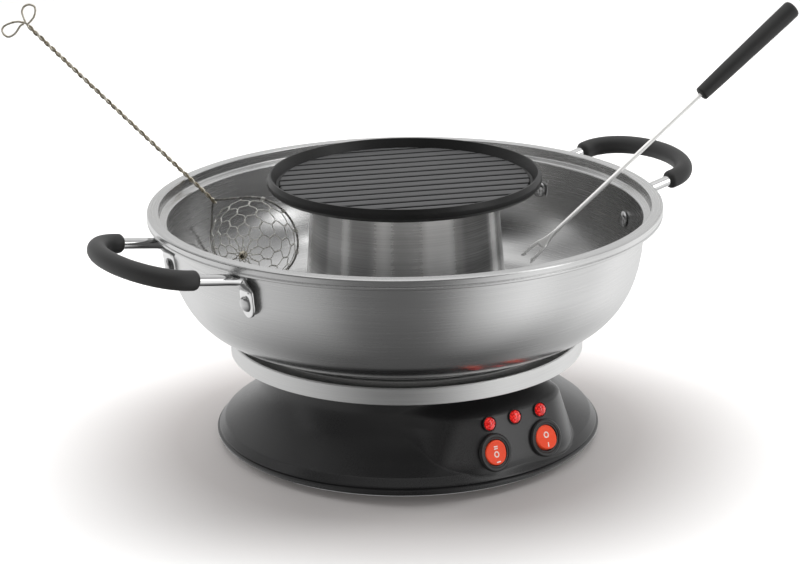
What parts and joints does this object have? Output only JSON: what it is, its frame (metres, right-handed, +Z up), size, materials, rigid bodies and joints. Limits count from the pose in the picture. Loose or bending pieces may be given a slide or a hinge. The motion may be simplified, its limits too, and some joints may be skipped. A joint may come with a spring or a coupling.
{
  "type": "electric fondue set",
  "caption": "Electric hot-pot fondue: steel bowl with a central chimney and ribbed grill plate on a round heated base, with rocker switches, a fork and a wire skimmer.",
  "frame": {"origin": "centre of the flat underside of the base's bottom cover", "axes": "+Z up; -Y out of the control pod's front; +X to the right for someone who faces the pod, along the pot's two handles within 1.8 degrees"},
  "size_m": [0.506, 0.3752, 0.2649],
  "materials": {
    "brushed_steel": "brushed",
    "polished_steel": "polished",
    "satin_band": "satin",
    "black_plastic": "fine texture",
    "black_coating": "non-stick coating",
    "black_grip": "fine grain",
    "red_rocker": "satin gloss",
    "red_lens": "clear red, faceted",
    "tinned_wire": "tinned",
    "cast_aluminium": "matt",
    "element_sheath": "matt dark",
    "rubber": "matt",
    "ceramic": "matt",
    "screw_steel": "plain",
    "lead_jacket": "matt"
  },
  "bodies": {
    "base": {"base_housing": "black_plastic", "bottom_cover": "black_plastic", "support_band": "satin_band", "heating_plate": "cast_aluminium", "fondue_element": "element_sheath", "grill_column": "brushed_steel", "grill_reflector": "brushed_steel", "grill_element": "element_sheath", "fondue_switch_body": "black_plastic", "grill_switch_body": "black_plastic", "cord_gland": "rubber", "terminal_block": "ceramic", "thermostat": "ceramic", "thermal_fuse": "ceramic", "fondue_lead": "lead_jacket", "grill_lead": "lead_jacket", "thermostat_lead": "lead_jacket", "rubber_foot_1": "rubber", "cover_screw_1": "screw_steel", "rubber_foot_2": "rubber", "cover_screw_2": "screw_steel", "rubber_foot_3": "rubber", "cover_screw_3": "screw_steel", "rubber_foot_4": "rubber", "cover_screw_4": "screw_steel", "left_lamp_body": "black_plastic", "left_lamp_lens": "red_lens", "middle_lamp_body": "black_plastic", "middle_lamp_lens": "red_lens", "right_lamp_body": "black_plastic", "right_lamp_lens": "red_lens"},
    "fondue_rocker": {"fondue_rocker": "red_rocker"},
    "grill_rocker": {"grill_rocker": "red_rocker"},
    "pot": {"pot_bowl": "brushed_steel", "pot_chimney": "brushed_steel", "pot_base_disc": "polished_steel", "right_handle_frame": "polished_steel", "left_handle_frame": "polished_steel", "right_handle_grip": "black_grip", "left_handle_grip": "black_grip", "right_rivet_a": "polished_steel", "right_rivet_b": "polished_steel", "left_rivet_a": "polished_steel", "left_rivet_b": "polished_steel"},
    "grill_plate": {"grill_plate": "black_coating"},
    "fork": {"fork_shaft": "polished_steel", "fork_handle": "black_grip"},
    "skimmer": {"skimmer_frame": "tinned_wire", "skimmer_net": "tinned_wire"}
  },
  "joints": [
    {"name": "fondue_rocker_tilt", "type": "hinge", "parent": "base", "child": "fondue_rocker", "pos_m": [-0.02, -0.11718, 0.02409], "axis": [1, 0, 0], "range_deg": [-12, 12]},
    {"name": "grill_rocker_tilt", "type": "hinge", "parent": "base", "child": "grill_rocker", "pos_m": [0.02, -0.11718, 0.02409], "axis": [1, 0, 0], "range_deg": [0, 24]},
    {"name": "pot_lift", "type": "slide", "parent": "base", "child": "pot", "axis": [0, 0, 1], "range_m": [0, 0.12]},
    {"name": "grill_plate_lift", "type": "slide", "parent": "pot", "child": "grill_plate", "axis": [0, 0, 1], "range_m": [0, 0.06]},
    {"name": "fork_lift", "type": "slide", "parent": "pot", "child": "fork", "axis": [0.8029, -0.1383, 0.5799], "range_m": [0, 0.058]},
    {"name": "skimmer_lift", "type": "slide", "parent": "pot", "child": "skimmer", "axis": [-0.1069, 0.1368, 0.9848], "range_m": [0, 0.11]}
  ]
}
